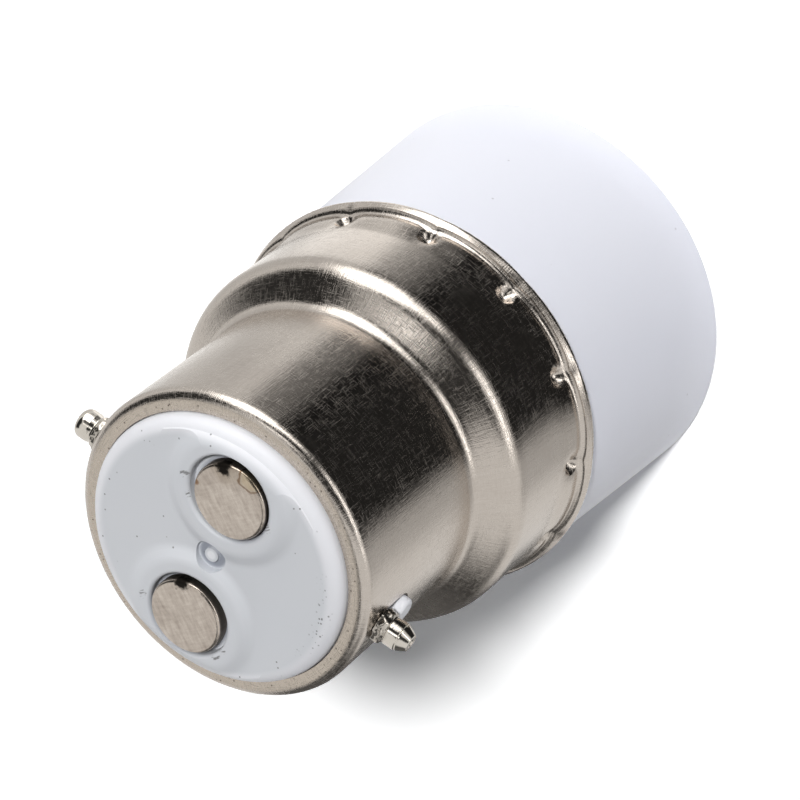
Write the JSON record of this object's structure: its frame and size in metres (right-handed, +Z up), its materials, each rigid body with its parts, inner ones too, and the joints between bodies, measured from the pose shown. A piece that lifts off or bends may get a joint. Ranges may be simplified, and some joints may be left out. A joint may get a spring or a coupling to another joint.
{
  "type": "lamp socket adapter",
  "caption": "Lamp socket adapter: a bayonet cap with side pins and flat contacts, crimped on a white holder with a screw socket for a screw-cap bulb.",
  "frame": {"origin": "centre of the mouth's rim, the plane that the adapter stands on when it is set down on its open mouth", "axes": "+Z runs up the axis from the mouth to the bayonet contacts, +X through the right-hand bayonet pin, +Y through the line contact"},
  "size_m": [0.03, 0.03, 0.0427],
  "materials": {
    "white_holder": "smooth white moulding with a fine satin skin",
    "white_insulator": "glossy cool-white moulding with small dark scuffs",
    "brushed_nickel": "nickel plate with a fine crosshatched brushing",
    "contact_nickel": "nickel plate, lightly scratched and stained",
    "thread_brass": "nickel-plated rolled brass sheet",
    "spring_brass": "bare spring brass",
    "lead_copper": "bare copper wire",
    "lead_sleeve": "plain insulating sleeve",
    "solder": "dull soldered metal"
  },
  "bodies": {
    "adapter": {"housing": "white_holder", "cap_shell": "brushed_nickel", "end_insulator": "white_insulator", "contact_button_line": "contact_nickel", "contact_button_neutral": "contact_nickel", "bayonet_pin_right": "brushed_nickel", "bayonet_pin_left": "brushed_nickel", "screw_shell": "thread_brass", "foot_rivet": "spring_brass", "foot_terminal": "spring_brass", "solder_line_button": "solder", "solder_centre_tail": "solder", "line_lead_core": "lead_copper", "line_lead_sleeve": "lead_sleeve", "solder_neutral_button": "solder", "solder_foot_terminal": "solder", "neutral_lead_core": "lead_copper", "neutral_lead_sleeve": "lead_sleeve"},
    "tongue": {"centre_contact": "spring_brass"}
  },
  "joints": [
    {"name": "tongue_flex", "type": "hinge", "parent": "adapter", "child": "tongue", "pos_m": [0, 0.0065, 0.0235], "axis": [-1, 0, 0], "range_deg": [0, 6], "stiffness_Nm_per_rad": 0.02}
  ]
}
